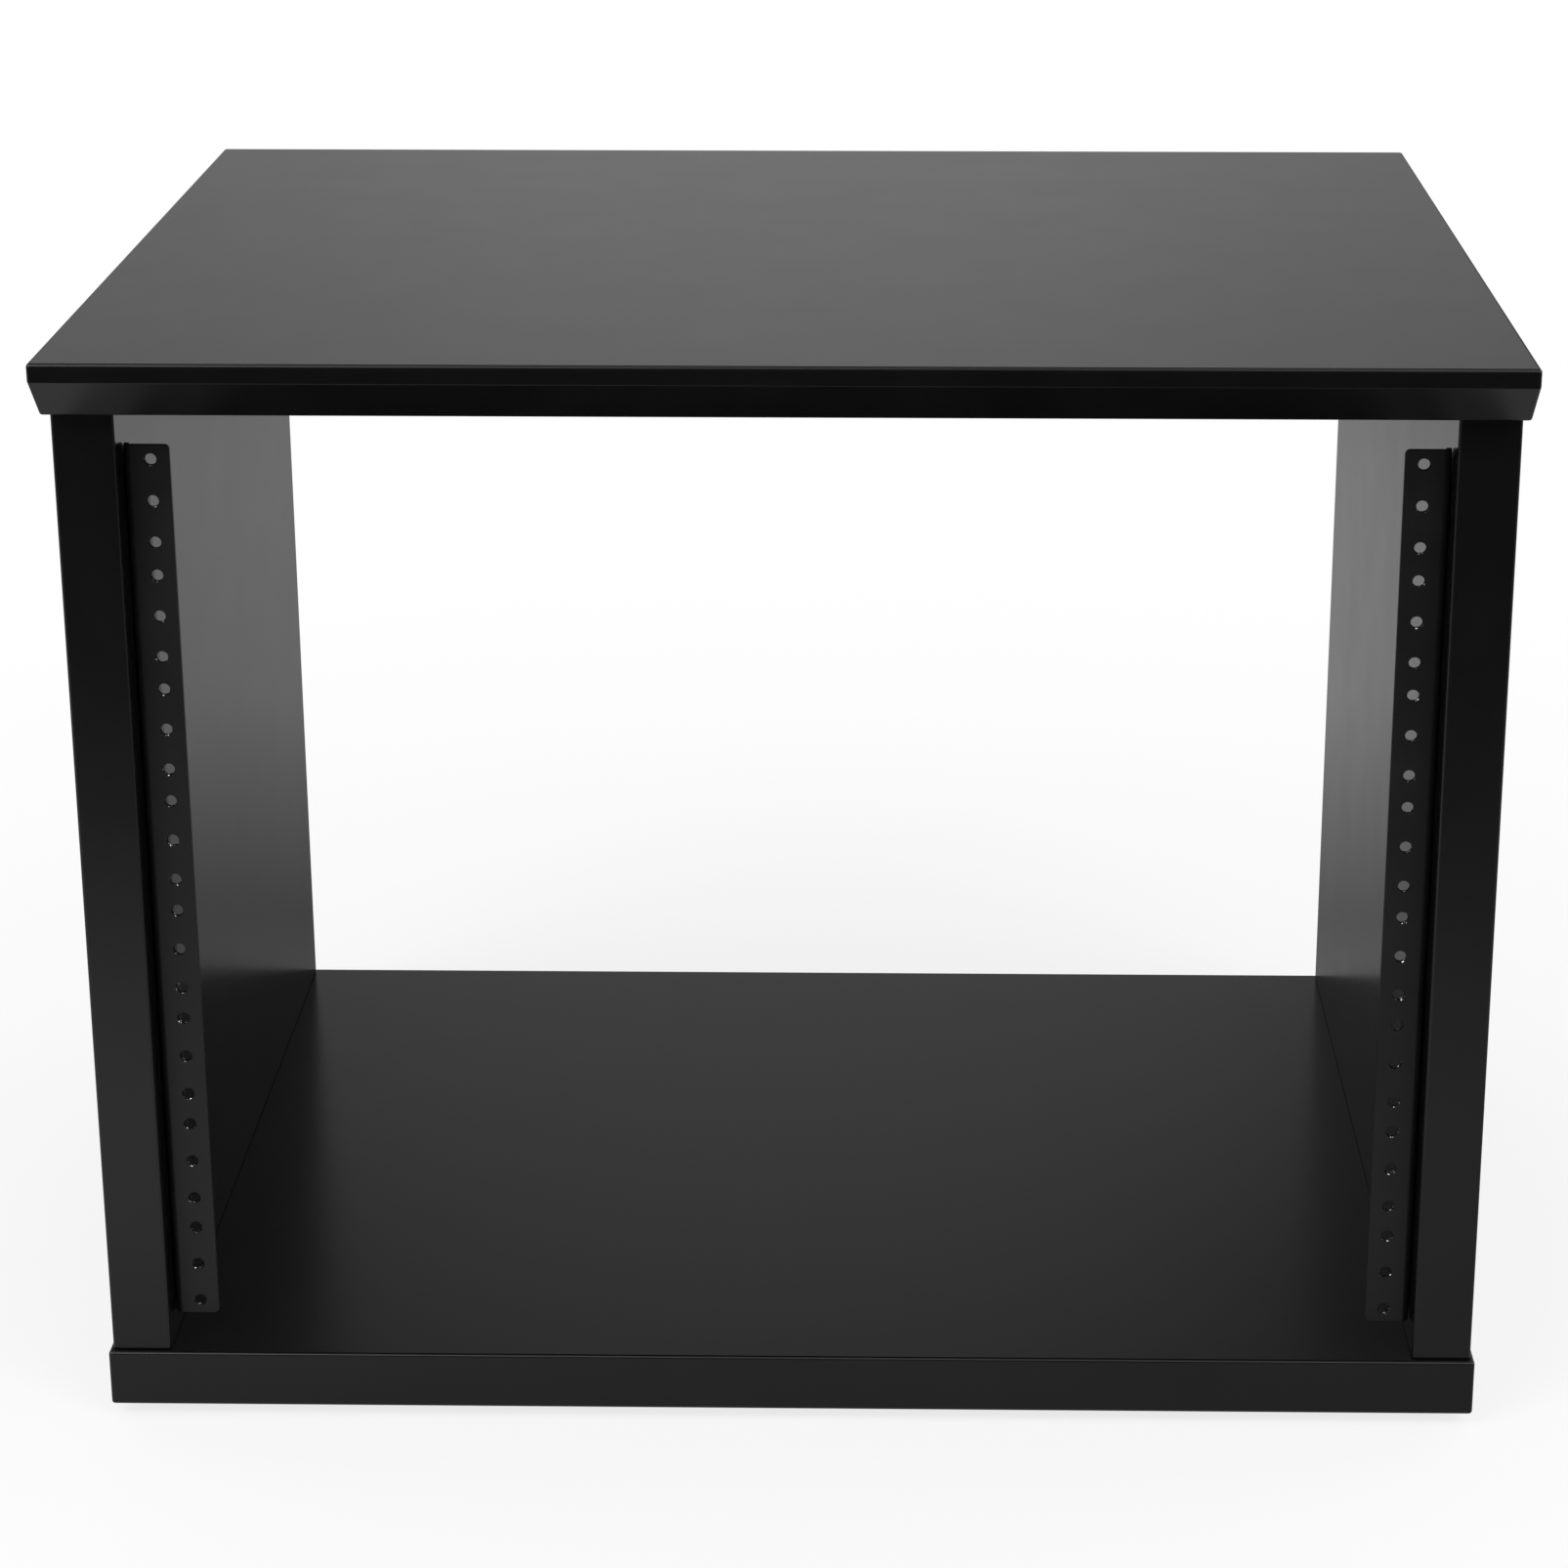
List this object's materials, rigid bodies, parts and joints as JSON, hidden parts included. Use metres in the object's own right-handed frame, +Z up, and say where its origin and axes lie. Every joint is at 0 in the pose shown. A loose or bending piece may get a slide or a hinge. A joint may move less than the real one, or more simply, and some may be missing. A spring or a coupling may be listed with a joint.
{
  "type": "studio rack",
  "caption": "Open desktop rack for 19-inch studio gear: black laminate boards, an overhanging top and two drilled steel rack rails.",
  "frame": {"origin": "on the floor, under the middle of the top panel's width and depth", "axes": "+X along the width, to the right seen from the front; the open front with the rack rails faces -Y; +Z up"},
  "size_m": [0.535, 0.406, 0.4323],
  "materials": {
    "black_laminate": "satin black laminate on board",
    "black_powder_coat": "satin black powder coat",
    "screw_steel": "blackened steel",
    "zinc": "bright zinc",
    "beech": "raw beech",
    "rubber": "matt rubber"
  },
  "bodies": {
    "root": {"top_panel": "black_laminate", "base_panel": "black_laminate", "left_side_panel": "black_laminate", "right_side_panel": "black_laminate", "left_rack_rail": "black_powder_coat", "right_rack_rail": "black_powder_coat", "left_rail_screw_1": "screw_steel", "left_rail_screw_2": "screw_steel", "left_rail_screw_3": "screw_steel", "left_rail_screw_4": "screw_steel", "right_rail_screw_1": "screw_steel", "right_rail_screw_2": "screw_steel", "right_rail_screw_3": "screw_steel", "right_rail_screw_4": "screw_steel", "left_front_cam": "zinc", "left_rear_cam": "zinc", "right_front_cam": "zinc", "right_rear_cam": "zinc", "left_front_cam_bolt": "zinc", "left_rear_cam_bolt": "zinc", "right_front_cam_bolt": "zinc", "right_rear_cam_bolt": "zinc", "left_front_top_dowel": "beech", "left_rear_top_dowel": "beech", "right_front_top_dowel": "beech", "right_rear_top_dowel": "beech", "left_front_base_dowel": "beech", "left_rear_base_dowel": "beech", "right_front_base_dowel": "beech", "right_rear_base_dowel": "beech", "left_front_base_screw": "screw_steel", "left_middle_base_screw": "screw_steel", "left_rear_base_screw": "screw_steel", "right_front_base_screw": "screw_steel", "right_middle_base_screw": "screw_steel", "right_rear_base_screw": "screw_steel", "left_front_foot": "rubber", "left_rear_foot": "rubber", "right_front_foot": "rubber", "right_rear_foot": "rubber", "left_front_foot_screw": "screw_steel", "left_rear_foot_screw": "screw_steel", "right_front_foot_screw": "screw_steel", "right_rear_foot_screw": "screw_steel"}
  },
  "joints": []
}
